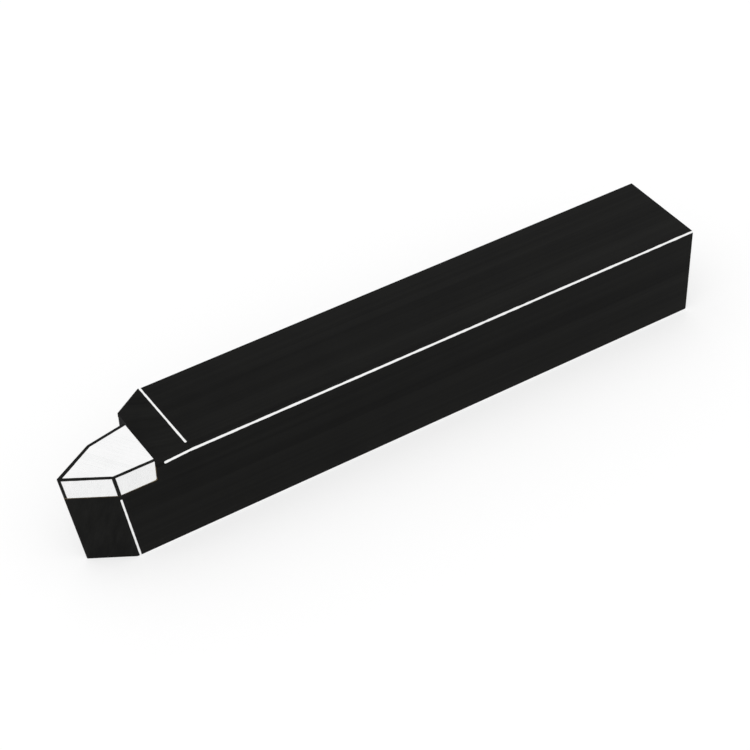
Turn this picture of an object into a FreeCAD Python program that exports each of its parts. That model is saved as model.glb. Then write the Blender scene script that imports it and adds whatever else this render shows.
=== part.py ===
# External threading tool with a brazed carbide tip, right hand, for a 60 degree thread.
#
# The tool lies along X with its point towards -X and its back end towards +X. The near side, which the
# point stands beside, is the -Y face of the bar. Z is up and the bar rests on Z = 0. The origin lies
# under the middle of the tool. All sizes are in millimetres and degrees.
import FreeCAD
import Part
import Sketcher
from FreeCAD import Vector

import os

NEARLY = 1e-4

# Every size that can be set by itself, with what it measures.
SIZES = [
    ("overall_length", 110.0, "from the point to the back end"),
    ("shank_width", 16.0, "of the square bar, side to side"),
    ("shank_height", 16.0, "of the square bar, bottom to top"),
    ("edge_chamfer", 0.3, "along the bar's long edges and round its back end"),
    ("tip_rise", 1.0, "by which the cutting edges stand above the top of the bar"),
    ("tip_width", 8.0, "of the carbide tip where its far flank ends"),
    ("tip_length", 13.2, "from the point to the tip's back face"),
    ("tip_thickness", 3.8, "of the carbide tip"),
    ("heel_chamfer", 0.2, "under the tip's back edge, to clear the root of the seat"),
    ("point_offset", 4.0, "from the near side of the bar to the point"),
    ("included_angle", 60.0, "between the two cutting edges"),
    ("point_radius", 0.2, "of the rounded point"),
    ("flank_clearance", 4.5, "by which both flanks lean back under the cutting edges"),
    ("side_flare", 11.0, "by which the far side of the nose widens towards the bar"),
    ("braze_gap", 0.12, "filled with brazing metal under and behind the tip"),
    ("braze_rise", 0.2, "by which the brazing metal climbs the tip above the seat's wall"),
    ("seat_radius", 0.2, "at the root of the milled seat"),
    ("ramp_start", 19.1, "from the point to the fold where the top starts to fall"),
    ("ramp_angle", 4.0, "by which the top falls from that fold towards the tip"),
    ("shoulder_start", 14.05, "from the point to the face where the nose stands out of the bar"),
    ("shoulder_angle", 30.0, "of the bevel on the far side of the bar, beside the ramp"),
    ("shoulder_radius", 1.5, "in the corner between the shoulder and the nose"),
    ("grinding_stock", 2.0, "that the nose is longer by before its flanks are ground"),
]

# Places that several pieces share, worked out from the sizes.
BACK_X = "(Sizes.overall_length / 2)"
FRONT_X = "(-Sizes.overall_length / 2)"
BLANK_X = f"({FRONT_X} - Sizes.grinding_stock)"
NEAR_Y = "(-Sizes.shank_width / 2)"
FAR_Y = "(Sizes.shank_width / 2)"
RAMP_X = f"({FRONT_X} + Sizes.ramp_start)"
SHOULDER_X = f"({FRONT_X} + Sizes.shoulder_start)"
SHOULDER_Y = f"({FAR_Y} - (Sizes.ramp_start - Sizes.shoulder_start) * tan(Sizes.shoulder_angle))"
TIP_BACK_X = f"({FRONT_X} + Sizes.tip_length)"
WALL_X = f"({TIP_BACK_X} + Sizes.braze_gap)"
RAKE_Z = "(Sizes.shank_height + Sizes.tip_rise)"
UNDERSIDE_Z = f"({RAKE_Z} - Sizes.tip_thickness)"
SEAT_Z = f"({UNDERSIDE_Z} - Sizes.braze_gap)"

# The sharp corner that the point would have without its radius, and the corner where the far flank ends.
HALF_ANGLE = "(Sizes.included_angle / 2)"
POINT_X = f"({FRONT_X} - Sizes.point_radius)"
POINT_Y = f"({NEAR_Y} + Sizes.point_offset)"
FLANK_END_X = f"({POINT_X} + (Sizes.tip_width - Sizes.point_offset) / tan({HALF_ANGLE}))"

# How far along its cutting edge each flank runs before it has left the side of the nose at the bottom.
FLANK_SETBACK = f"{RAKE_Z} * tan(Sizes.flank_clearance)"
NEAR_FLANK_RUN = (
    f"(Sizes.point_offset / sin({HALF_ANGLE}) + {FLANK_SETBACK} / tan({HALF_ANGLE}) + Sizes.grinding_stock)"
)
FAR_FLANK_RUN = (
    f"((Sizes.tip_width - Sizes.point_offset) / sin({HALF_ANGLE})"
    f" + {FLANK_SETBACK} / tan({HALF_ANGLE} - Sizes.side_flare) + Sizes.point_radius)"
)


def nose_side_y(x):
    """Y of the nose's far side at x: it passes the far flank's end and flares towards the bar."""
    return f"({NEAR_Y} + Sizes.tip_width + ({x} - {FLANK_END_X}) * tan(Sizes.side_flare))"


def ramp_z(x):
    """Height of the sloping top at x."""
    return f"(Sizes.shank_height - ({RAMP_X} - {x}) * tan(Sizes.ramp_angle))"


# The radius in the shoulder's corner: it ends on the face of the shoulder, however narrow that is.
SHOULDER_FACE = f"({SHOULDER_Y} - {nose_side_y(SHOULDER_X)})"
CORNER_RADIUS = f"min(Sizes.shoulder_radius; 0.9 * {SHOULDER_FACE} * tan(45 + Sizes.side_flare / 2))"


def make_sheet(document):
    """The sheet of driving sizes: what each one measures, and its value under its own name."""
    sheet = document.addObject("Spreadsheet::Sheet", "Sizes")
    for row, (name, value, meaning) in enumerate(SIZES, start=1):
        sheet.set(f"A{row}", meaning)
        sheet.set(f"B{row}", str(value))
        sheet.setAlias(f"B{row}", name)
    document.recompute()
    return sheet


def value_of(body, expression):
    """The number that an expression on the sheet gives now."""
    return float(body.evalExpression(expression))


def make_body(document, label):
    """An empty piece with its own label, which also names its file."""
    body = document.addObject("PartDesign::Body", label)
    body.Label = label
    return body


def raised(height):
    """The place of a flat outline that lies parallel to its plane, at a height over it."""
    return f"placement(vector(0; 0; {height}); rotation(0; 0; 0))"


def draw_outline(body, name, plane_role, corners, place=raised("0")):
    """A closed outline of straight sides, placed from one of the body's origin planes.

    Each corner is a pair of expressions, which also stay bound to the corner as its two dimensions.
    """
    sketch = body.newObject("Sketcher::SketchObject", name)
    plane = next(item for item in body.Origin.OriginFeatures if item.Role == plane_role)
    sketch.AttachmentSupport = [(plane, "")]
    sketch.MapMode = "FlatFace"
    sketch.setExpression("AttachmentOffset", place)
    places = [Vector(value_of(body, across), value_of(body, up), 0) for across, up in corners]
    count = len(corners)
    for side in range(count):
        line = Part.LineSegment(places[side], places[(side + 1) % count])
        sketch.addGeometry(line, False)
    for side in range(count):
        joint = Sketcher.Constraint("Coincident", side, 2, (side + 1) % count, 1)
        sketch.addConstraint(joint)
    for side, expressions in enumerate(corners):
        for kind, number, expression in zip(("DistanceX", "DistanceY"), places[side], expressions):
            index = sketch.addConstraint(Sketcher.Constraint(kind, side, 1, number))
            sketch.renameConstraint(index, f"corner_{side + 1}_{kind[-1]}")
            sketch.setExpression(f"Constraints[{index}]", expression)
    return sketch


def pad(body, name, sketch, length):
    """Material raised from an outline."""
    feature = body.newObject("PartDesign::Pad", name)
    feature.Profile = sketch
    feature.setExpression("Length", length)
    body.Document.recompute()
    return feature


def mill_across(body, name, sketch):
    """A cut of the outline's shape, straight across the piece from side to side."""
    feature = body.newObject("PartDesign::Pocket", name)
    feature.Profile = sketch
    feature.Type = "ThroughAll"
    feature.SideType = "Symmetric"
    body.Document.recompute()
    return feature


def edges_where(feature, test):
    """Names of the feature's edges whose two ends pass the test."""
    names = []
    for number, edge in enumerate(feature.Shape.Edges, start=1):
        start, end = edge.firstVertex().Point, edge.lastVertex().Point
        if test(start, end):
            names.append(f"Edge{number}")
    return names


def dress(body, kind, name, test, size_property, size):
    """A fillet or chamfer on those edges of the newest feature that pass the test."""
    base = body.Tip
    feature = body.newObject(kind, name)
    feature.Base = (base, edges_where(base, test))
    feature.setExpression(size_property, size)
    body.Document.recompute()
    return feature


def round_point(body):
    """The small radius along the sloping edge where the two flanks meet."""
    point_y = value_of(body, POINT_Y)

    def on_point_edge(start, end):
        beside = max(abs(start.y - point_y), abs(end.y - point_y))
        return beside < NEARLY and abs(end.z - start.z) > NEARLY

    dress(body, "PartDesign::Fillet", "RoundedPoint", on_point_edge, "Radius", "Sizes.point_radius")


def grind_flanks(body):
    """The two flanks, each ground as one plane through tip, seam and nose, and the rounded point.

    Each plane holds its cutting edge and leans back under it by the clearance angle. The outline of the
    cut is drawn in that plane, with its origin at the sharp point, X along the edge and Y up the flank.
    """
    overrun = "Sizes.grinding_stock"
    deep = f"(-{RAKE_Z} / cos(Sizes.flank_clearance) - {overrun})"
    flanks = [
        ("NearFlank", f"180 - {HALF_ANGLE}", f"-{NEAR_FLANK_RUN}", overrun),
        ("FarFlank", HALF_ANGLE, f"-{overrun}", FAR_FLANK_RUN),
    ]
    for name, yaw, start, end in flanks:
        corners = [(start, deep), (end, deep), (end, overrun), (start, overrun)]
        place = f"vector({POINT_X}; {POINT_Y}; {RAKE_Z})"
        lean = f"rotation({yaw}; 0; 90 - Sizes.flank_clearance)"
        outline = draw_outline(body, f"{name}Outline", "XY_Plane", corners, f"placement({place}; {lean})")
        cut = body.newObject("PartDesign::Pocket", name)
        cut.Profile = outline
        cut.Type = "ThroughAll"
        body.Document.recompute()
    round_point(body)


def round_seat_root(body):
    """The radius between floor and wall of the seat, and on the brazing metal that fills it."""
    wall_x = value_of(body, WALL_X)
    seat_z = value_of(body, SEAT_Z)

    def on_seat_root(start, end):
        return all(abs(place.x - wall_x) < NEARLY and abs(place.z - seat_z) < NEARLY for place in (start, end))

    dress(body, "PartDesign::Fillet", "SeatRoot", on_seat_root, "Radius", "Sizes.seat_radius")


def make_shank(document):
    """The steel bar: milled nose, bevelled shoulder, falling top, seat for the tip and ground flanks."""
    body = make_body(document, "shank")
    plan = draw_outline(
        body,
        "BarPlan",
        "XY_Plane",
        [
            (BACK_X, NEAR_Y),
            (BACK_X, FAR_Y),
            (RAMP_X, FAR_Y),
            (SHOULDER_X, SHOULDER_Y),
            (SHOULDER_X, nose_side_y(SHOULDER_X)),
            (BLANK_X, nose_side_y(BLANK_X)),
            (BLANK_X, NEAR_Y),
        ],
    )
    pad(body, "Bar", plan, "Sizes.shank_height")

    shoulder_x = value_of(body, SHOULDER_X)
    nose_y = value_of(body, nose_side_y(SHOULDER_X))

    def in_shoulder_corner(start, end):
        corner = Vector(shoulder_x, nose_y, 0)
        return all((Vector(place.x, place.y, 0) - corner).Length < NEARLY for place in (start, end))

    dress(body, "PartDesign::Fillet", "ShoulderCorner", in_shoulder_corner, "Radius", CORNER_RADIUS)

    ramp = draw_outline(
        body,
        "RampProfile",
        "XZ_Plane",
        [
            (RAMP_X, "Sizes.shank_height"),
            (BLANK_X, "Sizes.shank_height"),
            (BLANK_X, ramp_z(BLANK_X)),
        ],
    )
    mill_across(body, "Ramp", ramp)

    back_x = value_of(body, BACK_X)
    near_y = value_of(body, NEAR_Y)
    far_y = value_of(body, FAR_Y)

    def on_bar_edge(start, end):
        on_side = any(abs(start.y - y) < NEARLY and abs(end.y - y) < NEARLY for y in (near_y, far_y))
        lengthwise = abs(end.x - start.x) > NEARLY
        on_back = min(start.x, end.x) > back_x - NEARLY
        return on_back or (on_side and lengthwise)

    dress(body, "PartDesign::Chamfer", "BarEdges", on_bar_edge, "Size", "Sizes.edge_chamfer")

    seat = draw_outline(
        body,
        "SeatProfile",
        "XZ_Plane",
        [
            (WALL_X, SEAT_Z),
            (WALL_X, RAKE_Z),
            (BLANK_X, RAKE_Z),
            (BLANK_X, SEAT_Z),
        ],
    )
    mill_across(body, "Seat", seat)
    round_seat_root(body)
    grind_flanks(body)
    return body


def make_tip(document):
    """The cemented carbide tip: a flat block with a bevelled heel, ground to a point with the nose."""
    body = make_body(document, "carbide_tip")
    plan = draw_outline(
        body,
        "TipPlan",
        "XY_Plane",
        [
            (TIP_BACK_X, NEAR_Y),
            (TIP_BACK_X, nose_side_y(TIP_BACK_X)),
            (BLANK_X, nose_side_y(BLANK_X)),
            (BLANK_X, NEAR_Y),
        ],
        raised(UNDERSIDE_Z),
    )
    pad(body, "Tip", plan, "Sizes.tip_thickness")

    back_x = value_of(body, TIP_BACK_X)
    underside_z = value_of(body, UNDERSIDE_Z)

    def on_heel(start, end):
        at_back = min(start.x, end.x) > back_x - NEARLY
        return at_back and max(start.z, end.z) < underside_z + NEARLY

    dress(body, "PartDesign::Chamfer", "Heel", on_heel, "Size", "Sizes.heel_chamfer")
    grind_flanks(body)
    return body


def make_seam(document):
    """The brazing metal: a thin layer under and behind the tip that fills the root of the seat."""
    body = make_body(document, "braze_seam")
    profile = draw_outline(
        body,
        "SeamProfile",
        "XZ_Plane",
        [
            (WALL_X, SEAT_Z),
            (WALL_X, ramp_z(WALL_X)),
            (TIP_BACK_X, f"{ramp_z(WALL_X)} + Sizes.braze_rise"),
            (TIP_BACK_X, f"{UNDERSIDE_Z} + Sizes.heel_chamfer"),
            (f"{TIP_BACK_X} - Sizes.heel_chamfer", UNDERSIDE_Z),
            (BLANK_X, UNDERSIDE_Z),
            (BLANK_X, SEAT_Z),
        ],
    )
    layer = pad(body, "Layer", profile, "Sizes.shank_width")
    layer.SideType = "Symmetric"
    document.recompute()
    round_seat_root(body)

    side = draw_outline(
        body,
        "SidePlan",
        "XY_Plane",
        [
            (WALL_X, nose_side_y(WALL_X)),
            (WALL_X, f"{FAR_Y} + Sizes.braze_gap"),
            (BLANK_X, f"{FAR_Y} + Sizes.braze_gap"),
            (BLANK_X, nose_side_y(BLANK_X)),
        ],
    )
    mill_across(body, "FarSide", side)
    grind_flanks(body)
    return body


def check(document, pieces):
    """Stops unless every object of the document worked and every piece is one sound solid."""
    for item in document.Objects:
        if "Invalid" in item.State or "Error" in item.State:
            raise RuntimeError(f"{item.Label} could not be made: {item.getStatusString()}")
    for piece in pieces:
        shape = piece.Shape
        if shape.isNull() or not shape.isValid() or len(shape.Solids) != 1:
            raise RuntimeError(f"{piece.Label} is not one sound solid")


def main():
    """Makes the document with its three pieces, checks them and writes one file for each."""
    document = FreeCAD.newDocument("ThreadingTool")
    make_sheet(document)
    pieces = [make_shank(document), make_tip(document), make_seam(document)]
    document.recompute()
    check(document, pieces)
    os.makedirs("parts", exist_ok=True)
    for piece in pieces:
        piece.Shape.exportStep(f"parts/{piece.Label}.step")
        box = piece.Shape.BoundBox
        print(f"{piece.Label}: {piece.Shape.Volume:.2f} mm3, X {box.XMin:.3f} to {box.XMax:.3f}, "
              f"Y {box.YMin:.3f} to {box.YMax:.3f}, Z {box.ZMin:.3f} to {box.ZMax:.3f}")


main()
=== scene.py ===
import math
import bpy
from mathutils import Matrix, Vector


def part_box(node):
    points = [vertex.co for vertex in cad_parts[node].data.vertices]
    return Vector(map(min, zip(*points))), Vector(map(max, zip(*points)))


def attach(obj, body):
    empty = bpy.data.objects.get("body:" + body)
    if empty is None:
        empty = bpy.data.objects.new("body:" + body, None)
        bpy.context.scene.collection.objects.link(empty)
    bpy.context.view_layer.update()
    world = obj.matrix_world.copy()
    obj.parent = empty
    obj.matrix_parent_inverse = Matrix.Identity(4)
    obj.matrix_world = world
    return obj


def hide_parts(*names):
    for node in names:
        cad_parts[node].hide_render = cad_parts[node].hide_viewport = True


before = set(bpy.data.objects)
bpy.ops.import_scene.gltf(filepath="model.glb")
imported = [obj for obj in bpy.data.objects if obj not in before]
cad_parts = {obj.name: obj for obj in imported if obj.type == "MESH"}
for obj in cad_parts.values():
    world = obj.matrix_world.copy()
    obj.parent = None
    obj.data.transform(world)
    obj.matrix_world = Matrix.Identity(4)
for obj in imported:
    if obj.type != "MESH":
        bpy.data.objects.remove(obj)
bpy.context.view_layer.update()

# External threading tool: a blackened steel bar with worn edges painted near white as highlight lines, a
# ground carbide tip and its brazed seam.
#
# The tool lies along X with its point towards -X. Its near side, beside the point, is the -Y face of the
# bar, and the bar rests on Z = 0. Everything is in metres. The big sizes come from the frame's boxes.
from types import SimpleNamespace

import bmesh
import bpy
from mathutils import Quaternion, Vector

bl_info = {
    "name": "Brazed threading tool",
    "version": (1, 0, 0),
    "blender": (4, 5, 0),
    "location": "3D View > Sidebar > Threading Tool",
    "description": "Models a brazed external threading tool, gives it its finishes and sets up its studio",
    "category": "Add Mesh",
}

MM = 0.001

# Places closer together than TOUCH are the same. Edges that turn by more than ARC_ANGLE get broken, and
# faces that differ by less than FLAT_ANGLE become one.
TOUCH = 0.001 * MM
ARC_ANGLE = math.radians(15)
FLAT_ANGLE = math.radians(0.2)

# How much of a direction has to point one way, to count as doing so.
PARTLY = 0.3
MOSTLY = 0.5
NEARLY = 0.9
WHOLLY = 0.999

# Steps of the rounds.
POINT_STEPS = 10
SHOULDER_STEPS = 8
SEAT_STEPS = 6
BROKEN_EDGE_STEPS = 2

# Marks that each tool leaves: how their direction is turned, the distance between them and their length.
UPRIGHT = (0, math.pi / 2, 0)
ALONG_FLANK = (0, math.radians(75), 0)
ACROSS_RAKE = (0, 0, math.radians(55))
DRAWN = {"Spacing": 0.35 * MM, "Length": 40 * MM}
FACE_MILLED = {"Spacing": 0.45 * MM, "Arcs": 1.0}
SIDE_MILLED = {"Turn": UPRIGHT, "Spacing": 0.4 * MM}
GROUND = {"Turn": ALONG_FLANK, "Spacing": 0.2 * MM}
SAWN = {"Turn": UPRIGHT, "Spacing": 0.5 * MM, "Arcs": 1.0}
RAKE_GROUND = {"Turn": ACROSS_RAKE, "Spacing": 0.12 * MM, "Length": 9 * MM}
FLANK_GROUND = {"Turn": ALONG_FLANK, "Spacing": 0.12 * MM, "Length": 5 * MM}

# Where the middle of the face mill and of the saw stood, and how far the flanks stay off the shoulder.
CUTTER_BEHIND_FOLD = 6 * MM
CUTTER_BESIDE_BAR = 10 * MM
SAW_BESIDE_BAR = 40 * MM
SAW_UNDER_BAR = 30 * MM
SHOULDER_GAP = 3 * MM

# Depth of the marks and the grain.
STEEL_DEPTH = 0.02 * MM
CARBIDE_DEPTH = 0.004 * MM
BRAZING_DEPTH = 0.01 * MM

# Size of the cloudy patches and of the grain.
STEEL_CLOUDS = {"Patch": 9 * MM, "Grain": 1.2 * MM}
CARBIDE_CLOUDS = {"Patch": 3 * MM, "Grain": 0.9 * MM}
BRAZING_CLOUDS = {"Patch": 1.2 * MM, "Grain": 0.1 * MM}

# Parts of a noise's range that are stretched to 0 and 1, because it seldom leaves its middle.
CLOUD_RANGE = (0.34, 0.66)
GRAIN_RANGE = (0.3, 0.7)
SCORE_RANGE = (0.36, 0.6)
BARE_HIGHLIGHT_RANGE = (0.35, 0.6)
CARBIDE_RANGE = (0.35, 0.62)

# How the noises are mixed: broad marks among fine ones, scores among broad marks, clouds over both.
BROAD_SCALE = 0.16
BROAD_SHARE = 0.4
SCORE_SHARE = 0.4
CLOUD_SHARE = 0.35
NOISE_ROUGHNESS = 0.55
ROUGHNESS_SPREAD = 0.08

# How far the border of a line strays, and how soft it is.
BARE_HIGHLIGHT_STRAY = (-0.02 * MM, 0.03 * MM)
DARK_STRAY = (-0.015 * MM, 0.015 * MM)
LINE_SOFTNESS = 0.04 * MM

# Lamps: azimuth, elevation and spread in degrees.
KEY_LAMP = (-70, 60, 90)
FILL_LAMP = (20, 45, 120)

FLOOR_SIZE = 8.0
NEAREST_SEEN = 0.01
FARTHEST_SEEN = 20.0


# Settings

def length(name, millimetres, description):
    """A length that a user can change."""
    return bpy.props.FloatProperty(
        name=name, description=description, default=millimetres * MM, min=0.0, precision=5,
        subtype="DISTANCE", unit="LENGTH",
    )


def angle(name, degrees, description):
    """An angle that a user can change."""
    return bpy.props.FloatProperty(
        name=name, description=description, default=math.radians(degrees),
        subtype="ANGLE", unit="ROTATION",
    )


def share(name, value, description):
    """A number from 0 to 1 that a user can change."""
    return bpy.props.FloatProperty(
        name=name, description=description, default=value, min=0.0, max=1.0, subtype="FACTOR",
    )


def colour(name, value, description):
    """A colour that a user can change."""
    return bpy.props.FloatVectorProperty(
        name=name, description=description, default=value, size=3, min=0.0, max=1.0, subtype="COLOR",
    )


class ToolSizes(bpy.types.PropertyGroup):
    """Sizes of the tool that its frame's boxes don't give."""

    edge_chamfer: length("Edge Chamfer", 0.3, "Chamfer on the bar's long edges and round its back end")
    tip_width: length("Tip Width", 8.0, "Width of the carbide tip where its far flank ends")
    heel_chamfer: length("Heel Chamfer", 0.2, "Chamfer under the back edge of the tip")
    point_offset: length("Point Offset", 4.0, "Distance from the near side of the bar to the point")
    point_radius: length("Point Radius", 0.2, "Radius of the rounded point")
    included_angle: angle("Included Angle", 60.0, "Angle between the two cutting edges")
    flank_clearance: angle("Flank Clearance", 4.5, "Lean of both flanks under their cutting edges")
    side_flare: angle("Side Flare", 11.0, "Angle by which the far side of the nose widens towards the bar")
    seat_radius: length("Seat Radius", 0.2, "Radius at the root of the seat")
    ramp_start: length("Ramp Start", 19.1, "Distance from the point to the fold in the top")
    ramp_angle: angle("Ramp Angle", 4.0, "Fall of the top from that fold towards the tip")
    shoulder_start: length("Shoulder Start", 14.05, "Distance from the point to the face of the shoulder")
    shoulder_angle: angle("Shoulder Angle", 30.0, "Angle of the bevel on the far side of the bar")
    shoulder_radius: length("Shoulder Radius", 1.5, "Radius in the corner between shoulder and nose")
    grinding_stock: length("Grinding Stock", 2.0, "Length ground off the nose with its flanks")
    edge_break: length("Edge Break", 0.05, "Width of the broken edges between the faces of the steel")
    edge_hone: length("Edge Hone", 0.025, "Width of the honed edges of the carbide")


class ToolFinish(bpy.types.PropertyGroup):
    """Colours and surface of the tool."""

    black: colour("Black", (0.0095, 0.0095, 0.0088), "Colour of the blackening at its thinnest")
    deep_black: colour("Deep Black", (0.0018, 0.0018, 0.0017), "Colour of the blackening at its thickest")
    black_gloss: share("Black Gloss", 0.045, "Strength of the reflections on the blackened steel")
    milled_gloss: share("Milled Gloss", 0.010, "Strength of the reflections on the nose's sides")
    black_roughness: share("Black Roughness", 0.46, "Roughness of the blackened steel")
    # The near-white steel worn through along the edges paints highlight lines as well as showing wear.
    bare_highlight_steel: colour("Bare Highlight Steel", (0.97, 0.97, 0.965), "Colour of the bare steel along the edges")
    dull_highlight_steel: colour("Dull Highlight Steel", (0.88, 0.88, 0.875), "Colour of the bare steel down in its marks")
    bare_highlight_roughness: share("Bare Highlight Roughness", 0.34, "Roughness of the bare steel")
    bare_highlight_width: length("Bare Highlight Width", 0.365, "Width of the bare line along each edge of the bar")
    near_line_gap: length("Near Line Gap", 1.7, "Distance from the tip to the bare line on the near edge")
    fold_line_gap: length("Fold Line Gap", 1.9, "Distance from the near side to the fold's bare line")
    nose_line_gap: length("Nose Line Gap", 0.9, "Distance from the seat to the bare lines on the nose")
    shoulder_line_gap: length("Shoulder Line Gap", 1.2, "Distance from the top to the shoulder's bare line")
    carbide: colour("Carbide", (0.975, 0.975, 0.975), "Colour of the ground carbide")
    dull_carbide: colour("Dull Carbide", (0.89, 0.893, 0.896), "Colour of the carbide down in its marks")
    carbide_roughness: share("Carbide Roughness", 0.30, "Roughness of the ground carbide")
    carbide_line: colour("Carbide Line", (0.010, 0.010, 0.0095), "Colour of the line along the tip's edges")
    line_width: length("Line Width", 0.60, "Width of the dark line along an edge of the tip")
    outer_line_width: length("Outer Line Width", 0.76, "Width of that line at the point and far edges")
    outer_line_inset: length("Outer Line Inset", 0.17, "Distance of its middle from those edges")
    carbide_metal: share("Carbide Metal", 0.6, "How metallic the carbide looks")
    brazing: colour("Brazing Metal", (0.20, 0.15, 0.078), "Colour of the brazing metal")
    tarnish: colour("Tarnish", (0.035, 0.027, 0.020), "Colour of the tarnish on the brazing metal")
    bright_brazing: share("Bright Brazing", 0.35, "Roughness of the brazing metal where it is bright")
    dull_brazing: share("Dull Brazing", 0.6, "Roughness of the brazing metal where it is tarnished")
    brazing_metallic: share("Brazing Metallic", 0.9, "How metallic the brazing metal looks")


class StudioSettings(bpy.types.PropertyGroup):
    """Camera and light."""

    azimuth: angle("Azimuth", -31.90, "Direction that the camera looks in, 0 along +Y")
    elevation: angle("Elevation", 40.84, "Height of the camera above the horizon")
    roll: angle("Roll", -1.40, "Turn of the camera about its own axis")
    distance: length("Distance", 325.4, "Distance from the camera to the point that it aims at")
    lens: bpy.props.FloatProperty(
        name="Lens", description="Focal length of the camera", default=102.63, min=1.0, unit="CAMERA"
    )
    aim: bpy.props.FloatVectorProperty(
        name="Aim", description="Point that the camera aims at", size=3, precision=5,
        default=(-0.91 * MM, -1.16 * MM, 8.0 * MM), subtype="TRANSLATION", unit="LENGTH",
    )
    floor: colour("Floor", (0.8, 0.8, 0.8), "Colour of the floor")
    floor_gap: length("Floor Gap", 0.02, "Gap that keeps the tool's underside off the floor")
    floor_glow: share("Floor Glow", 0.58, "Part of the floor's white that doesn't come from the lamps")
    floor_shade: share("Floor Shade", 0.45, "Part of the floor's white that the tool can shade")
    room_level: share("Room Level", 0.66, "Light that comes evenly from all round")
    key_level: share("Key Level", 0.28, "Light of the key lamp")
    fill_level: share("Fill Level", 0.10, "Light of the fill lamp")


# Places

def places(sizes):
    """Where the tool's faces lie, from the frame's boxes and the sizes."""
    bar_low, bar_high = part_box("shank")
    tip_low, tip_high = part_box("carbide_tip")
    seam_low, seam_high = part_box("braze_seam")
    at = SimpleNamespace()
    at.front_x, at.back_x = tip_low.x, bar_high.x
    at.near_y, at.far_y = bar_low.y, bar_high.y
    at.bottom_z, at.top_z = bar_low.z, bar_high.z
    at.underside_z, at.rake_z = tip_low.z, tip_high.z
    at.seat_z, at.meniscus_z = seam_low.z, seam_high.z
    at.tip_back_x, at.wall_x = tip_high.x, seam_high.x
    at.blank_x = at.front_x - sizes.grinding_stock
    at.ramp_x = at.front_x + sizes.ramp_start
    at.shoulder_x = at.front_x + sizes.shoulder_start
    shoulder_fall = (at.ramp_x - at.shoulder_x) * math.tan(sizes.shoulder_angle)
    at.shoulder_y = at.far_y - shoulder_fall
    at.half_angle = sizes.included_angle / 2
    at.point = Vector((at.front_x - sizes.point_radius, at.near_y + sizes.point_offset, at.rake_z))
    far_run = (sizes.tip_width - sizes.point_offset) / math.tan(at.half_angle)
    near_run = sizes.point_offset / math.tan(at.half_angle)
    at.far_flank_end = Vector((at.point.x + far_run, at.near_y + sizes.tip_width, at.rake_z))
    at.near_flank_end = Vector((at.point.x + near_run, at.near_y, at.rake_z))
    at.flank_drift = math.tan(sizes.flank_clearance) / math.sin(at.half_angle)
    at.wall_top_z = ramp_z(at, sizes, at.wall_x)
    return at


def ramp_z(at, sizes, x):
    """Height of the sloping top at x."""
    return at.top_z - (at.ramp_x - x) * math.tan(sizes.ramp_angle)


def nose_side_y(at, sizes, x):
    """Y of the far side of the nose at x."""
    return at.far_flank_end.y + (x - at.far_flank_end.x) * math.tan(sizes.side_flare)


def nose_side_plane(at, sizes):
    """A point and the outward direction of the far side of the nose."""
    return at.far_flank_end, Vector((-math.sin(sizes.side_flare), math.cos(sizes.side_flare), 0))


def flank_edge(at, sizes, side, z):
    """Where a flank ends at height z: on the near side of the nose (-1) or on its far side (1)."""
    end, flare = (at.near_flank_end, 0.0) if side < 0 else (at.far_flank_end, sizes.side_flare)
    fall = at.rake_z - z
    step = fall * math.tan(sizes.flank_clearance) / math.sin(at.half_angle - flare)
    return end + Vector((step * math.cos(flare), step * math.sin(flare), -fall))


def flank_planes(at, sizes):
    """A point and the outward direction of each flank, near and far."""
    lean = sizes.flank_clearance
    for side in (-1, 1):
        level = Vector((-math.sin(at.half_angle), side * math.cos(at.half_angle), 0))
        yield at.point, level * math.cos(lean) - Vector((0, 0, math.sin(lean)))


# Modelling tools

def near(first, second):
    """True if two numbers or places are the same."""
    if isinstance(first, Vector):
        return (first - second).length < TOUCH
    return abs(first - second) < TOUCH


def start_piece(name, low, high):
    """A block between two corners, open in edit mode with nothing selected."""
    low, high = Vector(low), Vector(high)
    bpy.ops.object.select_all(action="DESELECT")
    bpy.ops.mesh.primitive_cube_add(size=1, location=(low + high) / 2, scale=high - low)
    bpy.ops.object.transform_apply(location=True, rotation=True, scale=True)
    piece = bpy.context.active_object
    piece.name = piece.data.name = name
    bpy.ops.object.mode_set(mode="EDIT")
    bpy.ops.mesh.select_all(action="DESELECT")
    return piece


def pick(kind, test):
    """Selects only those corners, edges or faces of the piece in edit mode that pass the test."""
    bpy.ops.mesh.select_all(action="DESELECT")
    bpy.ops.mesh.select_mode(type=kind)
    data = bpy.context.edit_object.data
    mesh = bmesh.from_edit_mesh(data)
    parts = {"VERT": mesh.verts, "EDGE": mesh.edges, "FACE": mesh.faces}[kind]
    found = [part for part in parts if test(part)]
    if not found:
        raise RuntimeError(f"{data.name}: no {kind.lower()} passes the test")
    for part in found:
        part.select_set(True)
    mesh.select_flush_mode()
    bmesh.update_edit_mesh(data, loop_triangles=False, destructive=False)


def pick_face(direction, test=lambda middle: True):
    """Selects the faces that look in a direction and whose middle passes the test."""
    direction = Vector(direction).normalized()

    def passes(face):
        return face.normal.dot(direction) > WHOLLY and test(face.calc_center_median())

    pick("FACE", passes)


def pick_edges(test):
    """Selects the edges whose two ends both pass the test."""
    pick("EDGE", lambda edge: all(test(corner.co) for corner in edge.verts))


def split(point, direction):
    """Adds edges where a plane crosses what is selected."""
    bpy.ops.mesh.bisect(plane_co=point, plane_no=direction, threshold=TOUCH)


def cut_off(point, direction):
    """Cuts what is selected along a plane, removes what lies beyond it and closes the cut."""
    bpy.ops.mesh.bisect(
        plane_co=point, plane_no=direction, use_fill=True, clear_outer=True, threshold=TOUCH
    )


def cut_all(point, direction):
    """Cuts the whole piece along a plane and removes what lies beyond it."""
    bpy.ops.mesh.select_all(action="SELECT")
    cut_off(point, direction)


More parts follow.
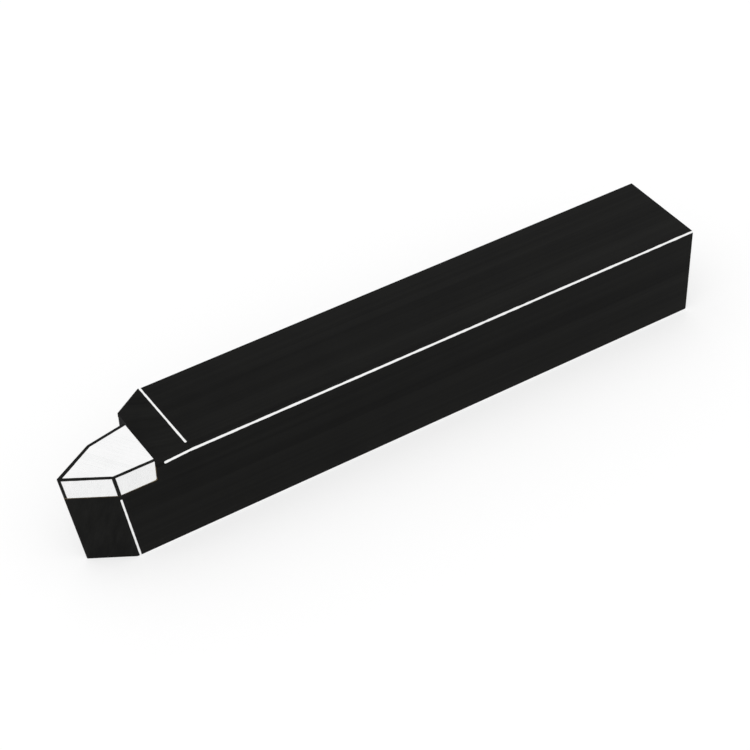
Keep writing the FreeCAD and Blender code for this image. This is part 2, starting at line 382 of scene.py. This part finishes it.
def extrude(x, y, z):
    """Extrudes the selected faces."""
    bpy.ops.mesh.extrude_region_move(TRANSFORM_OT_translate={"value": (x, y, z)})


def move(x, y, z):
    """Moves what is selected."""
    bpy.ops.transform.translate(value=(x, y, z))


def bevel(width, steps=1):
    """Bevels the selected edges: one step for a chamfer, more for a radius."""
    bpy.ops.mesh.bevel(
        offset_type="OFFSET", offset=width, segments=steps, profile=0.5, affect="EDGES",
        clamp_overlap=False,
    )


def merge_flat_faces():
    """Joins faces that lie in one plane."""
    bpy.ops.mesh.select_all(action="SELECT")
    bpy.ops.mesh.dissolve_limited(angle_limit=FLAT_ANGLE)


def is_steep(edge):
    """True if an edge runs up and down more than sideways."""
    along = edge.verts[1].co - edge.verts[0].co
    return abs(along.z) > NEARLY * along.length


def grind_flanks(at, sizes, behind_x):
    """Cuts both flanks through the part of the piece in front of behind_x, and rounds the point."""
    for point, direction in flank_planes(at, sizes):
        pick("FACE", lambda face: face.calc_center_median().x < behind_x)
        cut_off(point, direction)
    merge_flat_faces()
    pick("EDGE", lambda edge: all(near(end.co.y, at.point.y) for end in edge.verts) and is_steep(edge))
    reach = sizes.point_radius / math.sin(at.half_angle) - sizes.point_radius
    bevel(reach / ((2 - math.sqrt(2)) * math.cos(at.half_angle)), POINT_STEPS)


def subtract(piece, cutter):
    """Takes the cutter away from the piece, and deletes it."""
    bpy.ops.object.select_all(action="DESELECT")
    piece.select_set(True)
    bpy.context.view_layer.objects.active = piece
    tool = piece.modifiers.new("Cut", "BOOLEAN")
    tool.operation = "DIFFERENCE"
    tool.solver = "EXACT"
    tool.object = cutter
    bpy.ops.object.modifier_apply(modifier=tool.name)
    bpy.data.objects.remove(cutter, do_unlink=True)


def break_edges(piece, width):
    """Breaks the sharp edges with a fine round, and keeps flat faces flat between them."""
    bpy.ops.object.select_all(action="DESELECT")
    piece.select_set(True)
    bpy.context.view_layer.objects.active = piece
    bpy.ops.object.shade_smooth()
    tool = piece.modifiers.new("Broken edges", "BEVEL")
    tool.width = width
    tool.segments = BROKEN_EDGE_STEPS
    tool.limit_method = "ANGLE"
    tool.angle_limit = ARC_ANGLE
    tool.use_clamp_overlap = False
    bpy.ops.object.modifier_apply(modifier=tool.name)
    tool = piece.modifiers.new("Flat faces", "WEIGHTED_NORMAL")
    tool.mode = "FACE_AREA"
    tool.weight = 100
    tool.keep_sharp = True
    bpy.ops.object.modifier_apply(modifier=tool.name)


def paint(piece, material, test=None):
    """Gives the faces that pass the test a material; without a test, all of them."""
    piece.data.materials.append(material)
    slot_index = len(piece.data.materials) - 1
    for face in piece.data.polygons:
        if test is None or test(face.center, face.normal):
            face.material_index = slot_index


def fit(piece, node):
    """Puts a finished piece in the place of its node."""
    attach(piece, "root")
    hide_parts(node)


# Pieces

def model_shank(at, sizes):
    """The bar with its milled nose, bevelled shoulder, falling top, seat and ground flanks."""
    corner_y = nose_side_y(at, sizes, at.shoulder_x)
    shank = start_piece(
        "steel_shank",
        (at.shoulder_x, at.near_y, at.bottom_z),
        (at.back_x, at.far_y, at.top_z),
    )

    bpy.ops.mesh.select_all(action="SELECT")
    split((0, corner_y, 0), (0, 1, 0))
    pick_face((-1, 0, 0), lambda middle: middle.y < corner_y)
    nose_length = at.shoulder_x - at.blank_x
    extrude(-nose_length, 0, 0)
    pick_edges(lambda end: near(end.x, at.blank_x) and near(end.y, corner_y))
    move(0, -nose_length * math.tan(sizes.side_flare), 0)
    merge_flat_faces()

    pick_edges(lambda end: near(end.x, at.shoulder_x) and near(end.y, corner_y))
    turn = math.pi / 2 + sizes.side_flare
    bevel(sizes.shoulder_radius / math.tan(turn / 2), SHOULDER_STEPS)

    shoulder_side = (-math.sin(sizes.shoulder_angle), math.cos(sizes.shoulder_angle), 0)
    cut_all((at.shoulder_x, at.shoulder_y, 0), shoulder_side)
    cut_all((at.ramp_x, 0, at.top_z), (-math.sin(sizes.ramp_angle), 0, math.cos(sizes.ramp_angle)))

    def on_bar_edge(edge):
        start, end = (corner.co for corner in edge.verts)
        on_side = any(near(start.y, y) and near(end.y, y) for y in (at.near_y, at.far_y))
        lengthwise = abs(end.x - start.x) > TOUCH
        on_back = near(start.x, at.back_x) and near(end.x, at.back_x)
        return on_back or (on_side and lengthwise)

    pick("EDGE", on_bar_edge)
    bevel(sizes.edge_chamfer)
    bpy.ops.object.mode_set(mode="OBJECT")

    margin = sizes.grinding_stock
    cutter = start_piece(
        "seat_cutter",
        (at.blank_x - margin, at.near_y - margin, at.seat_z),
        (at.wall_x, at.far_y + margin, at.rake_z + margin),
    )
    pick_edges(lambda end: near(end.x, at.wall_x) and near(end.z, at.seat_z))
    bevel(sizes.seat_radius, SEAT_STEPS)
    bpy.ops.object.mode_set(mode="OBJECT")
    subtract(shank, cutter)

    bpy.ops.object.mode_set(mode="EDIT")
    ground_to_x = (at.shoulder_x + at.near_flank_end.x + at.flank_drift * at.rake_z) / 2
    bpy.ops.mesh.select_all(action="SELECT")
    split((ground_to_x, 0, 0), (1, 0, 0))
    grind_flanks(at, sizes, ground_to_x)
    pick_edges(lambda end: near(end.x, at.ramp_x) and end.z > at.top_z - sizes.edge_chamfer - TOUCH)
    bpy.ops.mesh.mark_sharp()
    bpy.ops.object.mode_set(mode="OBJECT")
    return shank


def model_tip(at, sizes):
    """The flat carbide block with its bevelled heel, ground to a point."""
    far_y = nose_side_y(at, sizes, at.tip_back_x)
    tip = start_piece(
        "ground_tip",
        (at.blank_x, at.near_y, at.underside_z),
        (at.tip_back_x, far_y, at.rake_z),
    )
    cut_all(*nose_side_plane(at, sizes))
    pick_edges(lambda end: near(end.x, at.tip_back_x) and near(end.z, at.underside_z))
    bevel(sizes.heel_chamfer)
    grind_flanks(at, sizes, at.back_x)
    bpy.ops.object.mode_set(mode="OBJECT")
    return tip


def model_seam(at, sizes):
    """The thin layer of brazing metal under the tip, which climbs behind it to its meniscus."""
    heel_x = at.tip_back_x - sizes.heel_chamfer
    seam = start_piece(
        "brazing_seam",
        (at.blank_x, at.near_y, at.seat_z),
        (heel_x, at.far_y, at.underside_z),
    )
    pick_face((1, 0, 0))
    extrude(sizes.heel_chamfer, 0, 0)
    pick_edges(lambda end: near(end.x, at.tip_back_x) and near(end.z, at.underside_z))
    move(0, 0, sizes.heel_chamfer)
    pick_face((1, 0, 0))
    extrude(at.wall_x - at.tip_back_x, 0, 0)
    pick_face((0, 0, 1), lambda middle: middle.x > at.tip_back_x)
    extrude(0, 0, at.wall_top_z - at.underside_z - sizes.heel_chamfer)
    pick_edges(lambda end: near(end.x, at.tip_back_x) and near(end.z, at.wall_top_z))
    move(0, 0, at.meniscus_z - at.wall_top_z)
    cut_all(*nose_side_plane(at, sizes))
    merge_flat_faces()
    pick_edges(lambda end: near(end.x, at.wall_x) and near(end.z, at.seat_z))
    bevel(sizes.seat_radius, SEAT_STEPS)
    grind_flanks(at, sizes, at.back_x)
    bpy.ops.object.mode_set(mode="OBJECT")
    return seam


# Shader tools

def add(tree, kind, inputs=None, **settings):
    """A node with its settings, whose inputs are set to numbers or linked to outputs."""
    node = tree.nodes.new(kind)
    for name, value in settings.items():
        setattr(node, name, value)
    for name, value in (inputs or {}).items():
        socket = node.inputs[name]
        if isinstance(value, bpy.types.NodeSocket):
            tree.links.new(value, socket)
        elif socket.type == "RGBA" and len(value) == 3:
            socket.default_value = (*value, 1.0)
        else:
            socket.default_value = value
    return node


def math_node(tree, operation, *values, clamp=False):
    """The result of a Math node."""
    node = add(tree, "ShaderNodeMath", dict(enumerate(values)), operation=operation, use_clamp=clamp)
    return node.outputs[0]


def vector_node(tree, operation, *values):
    """A Vector Math node."""
    return add(tree, "ShaderNodeVectorMath", dict(enumerate(values)), operation=operation)


def blend(tree, factor, first, second):
    """A colour between two others, by a factor."""
    return add(tree, "ShaderNodeMix", {0: factor, 6: first, 7: second}, data_type="RGBA").outputs[2]


def blend_values(tree, factor, first, second):
    """A number between two others, by a factor."""
    return add(tree, "ShaderNodeMix", {0: factor, 2: first, 3: second}, data_type="FLOAT").outputs[0]


def noise(tree, position, scale, detail):
    """A value that changes softly from place to place, mostly from 0.3 to 0.7."""
    inputs = {"Vector": position, "Scale": scale, "Detail": detail, "Roughness": NOISE_ROUGHNESS}
    return add(tree, "ShaderNodeTexNoise", inputs).outputs[0]


def stretch(tree, value, low, high, to_low=0.0, to_high=1.0):
    """A value taken from one range to another, and kept within it."""
    inputs = {"Value": value, "From Min": low, "From Max": high, "To Min": to_low, "To Max": to_high}
    return add(tree, "ShaderNodeMapRange", inputs).outputs[0]


def new_group(name, inputs, outputs):
    """An empty node group with named sockets. Inputs give (name, type, default)."""
    group = bpy.data.node_groups.new(name, "ShaderNodeTree")
    new_socket = group.interface.new_socket
    for socket_name, kind, default in inputs:
        socket = new_socket(name=socket_name, in_out="INPUT", socket_type=f"NodeSocket{kind}")
        if default is not None:
            socket.default_value = default
    for socket_name, kind in outputs:
        new_socket(name=socket_name, in_out="OUTPUT", socket_type=f"NodeSocket{kind}")
    entry = group.nodes.new("NodeGroupInput").outputs
    result = group.nodes.new("NodeGroupOutput").inputs
    return group, entry, result


def use_group(tree, group, inputs):
    """A group placed in a material, with its own values."""
    node = tree.nodes.new("ShaderNodeGroup")
    node.node_tree = group
    for name, value in inputs.items():
        if isinstance(value, bpy.types.NodeSocket):
            tree.links.new(value, node.inputs[name])
        else:
            node.inputs[name].default_value = value
    return node.outputs


def edge_line_group():
    """Mask of a line along an edge, between two ends, with an uneven border."""
    name = "Edge line"
    if name in bpy.data.node_groups:
        return bpy.data.node_groups[name]
    group, entry, result = new_group(
        name,
        [
            ("Position", "Vector", None),
            ("Start", "Vector", None),
            ("End", "Vector", None),
            ("Width", "Float", 0.5 * MM),
            ("Unevenness", "Float", 0.0),
            ("Softness", "Float", 0.1 * MM),
        ],
        [("Mask", "Float")],
    )
    along = vector_node(group, "SUBTRACT", entry["End"], entry["Start"]).outputs[0]
    offset = vector_node(group, "SUBTRACT", entry["Position"], entry["Start"]).outputs[0]
    reach = vector_node(group, "DOT_PRODUCT", offset, along).outputs["Value"]
    square = vector_node(group, "DOT_PRODUCT", along, along).outputs["Value"]
    part = math_node(group, "DIVIDE", reach, square, clamp=True)
    step = add(group, "ShaderNodeVectorMath", {0: along, "Scale": part}, operation="SCALE").outputs[0]
    distance = vector_node(group, "DISTANCE", offset, step).outputs["Value"]
    distance = math_node(group, "ADD", distance, entry["Unevenness"])
    half = math_node(group, "MULTIPLY", entry["Width"], 0.5)
    inner = math_node(group, "SUBTRACT", half, entry["Softness"])
    mask = add(
        group,
        "ShaderNodeMapRange",
        {"Value": distance, "From Min": inner, "From Max": half, "To Min": 1.0, "To Max": 0.0},
        interpolation_type="SMOOTHSTEP",
    )
    group.links.new(mask.outputs[0], result["Mask"])
    return group


def tool_marks_group():
    """Fine and broad marks of a tool that run along X of the turned position, straight or in arcs."""
    name = "Tool marks"
    if name in bpy.data.node_groups:
        return bpy.data.node_groups[name]
    group, entry, result = new_group(
        name,
        [
            ("Position", "Vector", None),
            ("Centre", "Vector", None),
            ("Turn", "Vector", None),
            ("Arcs", "Float", 0.0),
            ("Spacing", "Float", 0.3 * MM),
            ("Length", "Float", 20 * MM),
        ],
        [("Height", "Float"), ("Tone", "Float")],
    )
    offset = vector_node(group, "SUBTRACT", entry["Position"], entry["Centre"]).outputs[0]
    turning = {"Vector": offset, "Rotation": entry["Turn"]}
    turned = add(group, "ShaderNodeVectorRotate", turning, rotation_type="EULER_XYZ").outputs[0]
    straight = add(group, "ShaderNodeSeparateXYZ", {0: turned}).outputs
    level = vector_node(group, "MULTIPLY", turned, (1, 1, 0)).outputs[0]
    radius = vector_node(group, "LENGTH", level).outputs["Value"]
    turn = math_node(group, "ARCTAN2", straight["X"], straight["Y"])
    round_way = math_node(group, "MULTIPLY", turn, radius)
    along = blend_values(group, entry["Arcs"], straight["X"], round_way)
    across = blend_values(group, entry["Arcs"], straight["Y"], radius)
    fine_x = math_node(group, "DIVIDE", along, entry["Length"])
    fine_y = math_node(group, "DIVIDE", across, entry["Spacing"])
    fine_z = math_node(group, "DIVIDE", straight["Z"], entry["Spacing"])
    stretched = add(group, "ShaderNodeCombineXYZ", {"X": fine_x, "Y": fine_y, "Z": fine_z}).outputs[0]
    fine = noise(group, stretched, 1.0, detail=3.0)
    broad = noise(group, stretched, BROAD_SCALE, detail=2.0)
    both = blend_values(group, BROAD_SHARE, fine, broad)
    group.links.new(both, result["Height"])
    group.links.new(stretch(group, broad, *CLOUD_RANGE), result["Tone"])
    return group


def mottling_group():
    """Soft cloudy change of tone over a surface, and a fine grain."""
    name = "Mottling"
    if name in bpy.data.node_groups:
        return bpy.data.node_groups[name]
    group, entry, result = new_group(
        name,
        [("Position", "Vector", None), ("Patch", "Float", 6 * MM), ("Grain", "Float", 0.25 * MM)],
        [("Tone", "Float"), ("Grain", "Float")],
    )
    patches = noise(group, entry["Position"], math_node(group, "DIVIDE", 1.0, entry["Patch"]), detail=4.0)
    grain = noise(group, entry["Position"], math_node(group, "DIVIDE", 1.0, entry["Grain"]), detail=2.0)
    group.links.new(stretch(group, patches, *CLOUD_RANGE), result["Tone"])
    group.links.new(stretch(group, grain, *GRAIN_RANGE), result["Grain"])
    return group


def new_material(name):
    """A material with its tree, its shader and the position on the piece."""
    material = bpy.data.materials.new(name)
    material.use_nodes = True
    tree = material.node_tree
    shader = tree.nodes["Principled BSDF"]
    position = tree.nodes.new("ShaderNodeTexCoord").outputs["Object"]
    return material, tree, shader, position


def lines_mask(tree, position, lines, unevenness):
    """Mask of several edge lines, each with a start, an end and a width."""
    mask = 0.0
    for start, end, width in lines:
        inputs = {
            "Position": position,
            "Start": start,
            "End": end,
            "Width": width,
            "Unevenness": unevenness,
            "Softness": LINE_SOFTNESS,
        }
        line = use_group(tree, edge_line_group(), inputs)
        mask = math_node(tree, "MAXIMUM", mask, line["Mask"])
    return mask


def roughness_around(tree, middle, value, low=0.0, high=1.0):
    """A roughness that a value takes a little below and above its middle."""
    return stretch(tree, value, low, high, middle - ROUGHNESS_SPREAD, middle + ROUGHNESS_SPREAD)


def bumps(tree, height, depth, strength=1.0):
    """The surface's direction, changed by a height."""
    inputs = {"Height": height, "Strength": strength, "Distance": depth}
    return add(tree, "ShaderNodeBump", inputs).outputs[0]


def connect(tree, shader, **inputs):
    """Links outputs to the shader's inputs, whose spaces are written as underscores."""
    for name, output in inputs.items():
        tree.links.new(output, shader.inputs[name.replace("_", " ")])


# Finishes

def bare_highlight_lines(at, sizes, finish):
    """Where the steel is worn through its blackening and painted near white as highlight lines: along the
    bar's edges, the fold, the shoulder and the nose's corners.
    """
    inset = sizes.edge_chamfer / 2
    near_y, far_y = at.near_y + inset, at.far_y - inset
    bottom_z, top_z = at.bottom_z + inset, at.top_z - inset
    back_x = at.back_x - inset
    near_x = at.tip_back_x + finish.near_line_gap
    nose_x = flank_edge(at, sizes, -1, bottom_z).x
    fold_near_y = at.near_y + finish.fold_line_gap
    shoulder_top_z = at.top_z - finish.shoulder_line_gap
    nose_top_z = at.seat_z - finish.nose_line_gap
    lines = [
        ((at.ramp_x, near_y, top_z), (back_x, near_y, top_z)),
        ((near_x, near_y, ramp_z(at, sizes, near_x) - inset), (at.ramp_x, near_y, top_z)),
        ((at.ramp_x, far_y, top_z), (back_x, far_y, top_z)),
        ((at.ramp_x, far_y, bottom_z), (back_x, far_y, bottom_z)),
        ((nose_x, near_y, bottom_z), (back_x, near_y, bottom_z)),
        ((back_x, near_y, bottom_z), (back_x, near_y, top_z)),
        ((back_x, far_y, bottom_z), (back_x, far_y, top_z)),
        ((back_x, near_y, bottom_z), (back_x, far_y, bottom_z)),
        ((back_x, near_y, top_z), (back_x, far_y, top_z)),
        ((at.ramp_x, fold_near_y, at.top_z), (at.ramp_x, at.far_y, at.top_z)),
        ((at.ramp_x, at.far_y, at.bottom_z), (at.ramp_x, at.far_y, at.top_z)),
        ((at.shoulder_x, at.shoulder_y, at.bottom_z), (at.shoulder_x, at.shoulder_y, shoulder_top_z)),
    ]
    for side in (-1, 1):
        lines.append([flank_edge(at, sizes, side, z) for z in (nose_top_z, at.bottom_z)])
    return [(start, end, finish.bare_highlight_width) for start, end in lines]


def blackened_steel(name, at, sizes, finish, gloss, **marks_values):
    """Blackened steel with the marks of one tool, worn to bright metal along the edges, where the
    near-white metal paints highlight lines.
    """
    material, tree, shader, position = new_material(name)
    marks = use_group(tree, tool_marks_group(), {"Position": position, **marks_values})
    clouds = use_group(tree, mottling_group(), {"Position": position, **STEEL_CLOUDS})
    unevenness = stretch(tree, clouds["Grain"], 0.0, 1.0, *BARE_HIGHLIGHT_STRAY)
    # Painted highlights: near-white metal lines along the edges, the fold, the shoulder and the nose,
    # partly wear and partly painted highlight.
    bare_highlight = lines_mask(tree, position, bare_highlight_lines(at, sizes, finish), unevenness)

    scores = stretch(tree, marks["Height"], *SCORE_RANGE)
    scored = blend_values(tree, SCORE_SHARE, marks["Tone"], scores)
    thinness = blend_values(tree, CLOUD_SHARE, scored, clouds["Tone"])
    dark = blend(tree, thinness, tuple(finish.deep_black), tuple(finish.black))
    brightness = stretch(tree, marks["Height"], *BARE_HIGHLIGHT_RANGE)
    bright = blend(tree, brightness, tuple(finish.dull_highlight_steel), tuple(finish.bare_highlight_steel))
    roughness = roughness_around(tree, finish.black_roughness, clouds["Tone"])
    bare_highlight_roughness = roughness_around(tree, finish.bare_highlight_roughness, marks["Height"], *GRAIN_RANGE)
    shader.inputs["Specular IOR Level"].default_value = gloss
    connect(
        tree, shader,
        Base_Color=blend(tree, bare_highlight, dark, bright),
        Roughness=blend_values(tree, bare_highlight, roughness, bare_highlight_roughness),
        Metallic=bare_highlight,
        Normal=bumps(tree, marks["Height"], STEEL_DEPTH),
    )
    return material


def set_right(start, end, distance):
    """The two ends of a level line, moved to its right."""
    along = (end - start).normalized()
    side = Vector((along.y, -along.x, 0)) * distance
    return start + side, end + side


def tip_lines(at, sizes, finish):
    """Where the dark line runs along the edges of the tip."""
    back = at.tip_back_x
    far_y = nose_side_y(at, sizes, back)
    drop = at.rake_z - at.underside_z
    point = Vector((at.front_x, at.point.y, at.rake_z))
    point_foot = point + Vector((at.flank_drift * drop, 0, -drop))
    near_end, far_end = at.near_flank_end, at.far_flank_end
    near_back, far_back = Vector((back, at.near_y, at.rake_z)), Vector((back, far_y, at.rake_z))
    width, outer_width, inset = finish.line_width, finish.outer_line_width, finish.outer_line_inset
    along_near_flank = (near_end - point).normalized() * inset
    return [
        (point, near_end, width),
        (near_end, near_back, width),
        (*set_right(point, far_end, inset), outer_width),
        (*set_right(far_end, far_back, inset), outer_width),
        (point + along_near_flank, point_foot + along_near_flank, outer_width),
        (near_end, flank_edge(at, sizes, -1, at.underside_z), width),
        (far_end, flank_edge(at, sizes, 1, at.underside_z), width),
    ]


def ground_carbide(name, at, sizes, finish, **marks_values):
    """Bright ground carbide with fine wheel marks and a dark line along each edge."""
    material, tree, shader, position = new_material(name)
    marks = use_group(tree, tool_marks_group(), {"Position": position, **marks_values})
    clouds = use_group(tree, mottling_group(), {"Position": position, **CARBIDE_CLOUDS})
    unevenness = stretch(tree, clouds["Grain"], 0.0, 1.0, *DARK_STRAY)
    line = lines_mask(tree, position, tip_lines(at, sizes, finish), unevenness)
    scores = stretch(tree, marks["Height"], *CARBIDE_RANGE)
    tone = blend_values(tree, CLOUD_SHARE, scores, clouds["Tone"])
    body = blend(tree, tone, tuple(finish.dull_carbide), tuple(finish.carbide))
    connect(
        tree, shader,
        Base_Color=blend(tree, line, body, tuple(finish.carbide_line)),
        Roughness=roughness_around(tree, finish.carbide_roughness, tone),
        Metallic=blend_values(tree, line, finish.carbide_metal, 1.0),
        Normal=bumps(tree, marks["Height"], CARBIDE_DEPTH),
    )
    return material


def brazing_metal(name, finish):
    """Dull brown brazing metal with patches of tarnish."""
    material, tree, shader, position = new_material(name)
    clouds = use_group(tree, mottling_group(), {"Position": position, **BRAZING_CLOUDS})
    tarnish = clouds["Tone"]
    connect(
        tree, shader,
        Base_Color=blend(tree, tarnish, tuple(finish.brazing), tuple(finish.tarnish)),
        Roughness=stretch(tree, tarnish, 0.0, 1.0, finish.bright_brazing, finish.dull_brazing),
        Normal=bumps(tree, clouds["Grain"], BRAZING_DEPTH, strength=0.5),
    )
    shader.inputs["Metallic"].default_value = finish.brazing_metallic
    return material


# Studio

def background_rays(tree):
    """1 for what the camera sees, straight or through a reflection or glass."""
    rays = tree.nodes.new("ShaderNodeLightPath").outputs
    either = math_node(tree, "MAXIMUM", rays["Is Camera Ray"], rays["Is Glossy Ray"])
    return math_node(tree, "MAXIMUM", either, rays["Is Transmission Ray"])


def blend_shaders(tree, factor, first, second):
    """A shader between those of two nodes, by a factor."""
    return add(tree, "ShaderNodeMixShader", {0: factor, 1: first.outputs[0], 2: second.outputs[0]})


def lay_floor(studio):
    """The plain pale floor, which looks white and keeps the tool's shadow."""
    bpy.ops.object.select_all(action="DESELECT")
    bpy.ops.mesh.primitive_plane_add(size=FLOOR_SIZE, location=(0, 0, -studio.floor_gap))
    floor = bpy.context.active_object
    floor.name = "studio_floor"
    material = bpy.data.materials.new("White floor")
    material.use_nodes = True
    tree = material.node_tree
    tree.nodes.clear()
    plain = add(tree, "ShaderNodeBsdfDiffuse", {"Color": tuple(studio.floor)})
    seen = add(tree, "ShaderNodeBsdfDiffuse", {"Color": tuple([studio.floor_shade] * 3)})
    glow = add(tree, "ShaderNodeEmission", {"Color": (1.0, 1.0, 1.0), "Strength": studio.floor_glow})
    white = add(tree, "ShaderNodeAddShader", {0: seen.outputs[0], 1: glow.outputs[0]})
    above = blend_shaders(tree, background_rays(tree), plain, white)
    clear = add(tree, "ShaderNodeBsdfTransparent")
    below = tree.nodes.new("ShaderNodeNewGeometry").outputs["Backfacing"]
    surface = blend_shaders(tree, below, above, clear)
    output = tree.nodes.new("ShaderNodeOutputMaterial")
    tree.links.new(surface.outputs[0], output.inputs["Surface"])
    floor.data.materials.append(material)


def light_world(strength):
    """Even light from all round, in front of a white background."""
    world = bpy.data.worlds.new("Studio")
    bpy.context.scene.world = world
    world.use_nodes = True
    tree = world.node_tree
    tree.nodes.clear()
    level = blend_values(tree, background_rays(tree), strength, 1.0)
    light = add(tree, "ShaderNodeBackground", {"Color": (1.0, 1.0, 1.0), "Strength": level})
    output = tree.nodes.new("ShaderNodeOutputWorld")
    tree.links.new(light.outputs[0], output.inputs["Surface"])


def direction_to(azimuth, elevation):
    """Direction from the tool to a camera or lamp; azimuth 0 stands on the -Y side."""
    level = math.cos(elevation)
    return Vector((math.sin(azimuth) * level, -math.cos(azimuth) * level, math.sin(elevation)))


def hang_lamp(name, azimuth, elevation, spread, strength):
    """A broad soft lamp far away, in a direction given as for the camera, that leaves no glare."""
    lamp = bpy.data.lights.new(name, "SUN")
    lamp.energy = strength * math.pi
    lamp.angle = math.radians(spread)
    rig = bpy.data.objects.new(name, lamp)
    bpy.context.scene.collection.objects.link(rig)
    rig.visible_glossy = False
    rig.rotation_mode = "QUATERNION"
    back = direction_to(math.radians(azimuth), math.radians(elevation))
    rig.rotation_quaternion = (-back).to_track_quat("-Z", "Y")


def place_camera(studio):
    """The camera at the picture's viewing angle."""
    data = bpy.data.cameras.new("Camera")
    data.lens = studio.lens
    data.clip_start = NEAREST_SEEN
    data.clip_end = FARTHEST_SEEN
    camera = bpy.data.objects.new("Camera", data)
    bpy.context.scene.collection.objects.link(camera)
    back = direction_to(studio.azimuth, studio.elevation)
    camera.location = Vector(studio.aim) + back * studio.distance
    camera.rotation_mode = "QUATERNION"
    camera.rotation_quaternion = (-back).to_track_quat("-Z", "Y") @ Quaternion((0, 0, 1), studio.roll)
    bpy.context.scene.camera = camera


# Operators

class MakeShank(bpy.types.Operator):
    """Model the steel shank and blacken it"""

    bl_idname = "threading_tool.make_shank"
    bl_label = "Make Shank"
    bl_options = {"REGISTER", "UNDO"}

    def execute(self, context):
        sizes, finish = context.scene.tool_sizes, context.scene.tool_finish
        at = places(sizes)
        shank = model_shank(at, sizes)

        cutter_centre = (at.ramp_x + CUTTER_BEHIND_FOLD, at.far_y + CUTTER_BESIDE_BAR, 0)
        saw_centre = (at.back_x, at.near_y - SAW_BESIDE_BAR, -SAW_UNDER_BAR)

        def steel(name, marks, gloss=finish.black_gloss, **more):
            return blackened_steel(name, at, sizes, finish, gloss, **marks, **more)

        def on_ramp(middle, normal):
            return middle.x < at.ramp_x and normal.z > MOSTLY

        def on_nose_side(middle, normal):
            return middle.x < at.ramp_x and abs(normal.z) < MOSTLY and normal.y > -MOSTLY

        def on_flank(middle, normal):
            return middle.x < at.shoulder_x - SHOULDER_GAP and normal.x < -PARTLY

        def on_back(middle, normal):
            return normal.x > NEARLY

        paint(shank, steel("Drawn steel", DRAWN))
        paint(shank, steel("Face-milled steel", FACE_MILLED, Centre=cutter_centre), on_ramp)
        paint(shank, steel("Side-milled steel", SIDE_MILLED, finish.milled_gloss), on_nose_side)
        paint(shank, steel("Ground steel", GROUND), on_flank)
        paint(shank, steel("Sawn steel", SAWN, Centre=saw_centre), on_back)
        break_edges(shank, sizes.edge_break)
        fit(shank, "shank")
        return {"FINISHED"}


class MakeTip(bpy.types.Operator):
    """Model the carbide tip and grind it bright"""

    bl_idname = "threading_tool.make_tip"
    bl_label = "Make Tip"
    bl_options = {"REGISTER", "UNDO"}

    def execute(self, context):
        sizes, finish = context.scene.tool_sizes, context.scene.tool_finish
        at = places(sizes)
        tip = model_tip(at, sizes)

        def on_side(middle, normal):
            return normal.z < MOSTLY

        paint(tip, ground_carbide("Ground carbide top", at, sizes, finish, **RAKE_GROUND))
        paint(tip, ground_carbide("Ground carbide flank", at, sizes, finish, **FLANK_GROUND), on_side)
        break_edges(tip, sizes.edge_hone)
        fit(tip, "carbide_tip")
        return {"FINISHED"}


class MakeSeam(bpy.types.Operator):
    """Model the brazed seam between tip and shank"""

    bl_idname = "threading_tool.make_seam"
    bl_label = "Make Seam"
    bl_options = {"REGISTER", "UNDO"}

    def execute(self, context):
        sizes, finish = context.scene.tool_sizes, context.scene.tool_finish
        seam = model_seam(places(sizes), sizes)
        paint(seam, brazing_metal("Brazing metal", finish))
        fit(seam, "braze_seam")
        return {"FINISHED"}


class SetUpStudio(bpy.types.Operator):
    """Lay the floor, hang the lamps and place the camera"""

    bl_idname = "threading_tool.set_up_studio"
    bl_label = "Set Up Studio"
    bl_options = {"REGISTER", "UNDO"}

    def execute(self, context):
        studio = context.scene.tool_studio
        lay_floor(studio)
        light_world(studio.room_level)
        hang_lamp("Key lamp", *KEY_LAMP, studio.key_level)
        hang_lamp("Fill lamp", *FILL_LAMP, studio.fill_level)
        place_camera(studio)
        context.scene.view_settings.view_transform = "Standard"
        return {"FINISHED"}


class ThreadingToolPanel(bpy.types.Panel):
    """Steps and settings of the threading tool"""

    bl_idname = "VIEW3D_PT_threading_tool"
    bl_label = "Threading Tool"
    bl_space_type = "VIEW_3D"
    bl_region_type = "UI"
    bl_category = "Threading Tool"

    def draw(self, context):
        for step in STEPS:
            self.layout.operator(step.bl_idname)
        for settings in (context.scene.tool_sizes, context.scene.tool_finish, context.scene.tool_studio):
            box = self.layout.box()
            for name in settings.__annotations__:
                box.prop(settings, name)


STEPS = (MakeShank, MakeTip, MakeSeam, SetUpStudio)
CLASSES = (ToolSizes, ToolFinish, StudioSettings, *STEPS, ThreadingToolPanel)


def register():
    """Registers the classes and adds the settings to the scene."""
    for item in CLASSES:
        bpy.utils.register_class(item)
    bpy.types.Scene.tool_sizes = bpy.props.PointerProperty(type=ToolSizes)
    bpy.types.Scene.tool_finish = bpy.props.PointerProperty(type=ToolFinish)
    bpy.types.Scene.tool_studio = bpy.props.PointerProperty(type=StudioSettings)


def unregister():
    """Takes the settings and the classes away again."""
    del bpy.types.Scene.tool_sizes
    del bpy.types.Scene.tool_finish
    del bpy.types.Scene.tool_studio
    for item in reversed(CLASSES):
        bpy.utils.unregister_class(item)


def main():
    """Registers the add-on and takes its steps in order."""
    register()
    bpy.ops.threading_tool.make_shank()
    bpy.ops.threading_tool.make_tip()
    bpy.ops.threading_tool.make_seam()
    bpy.ops.threading_tool.set_up_studio()


if __name__ == "__main__":
    main()
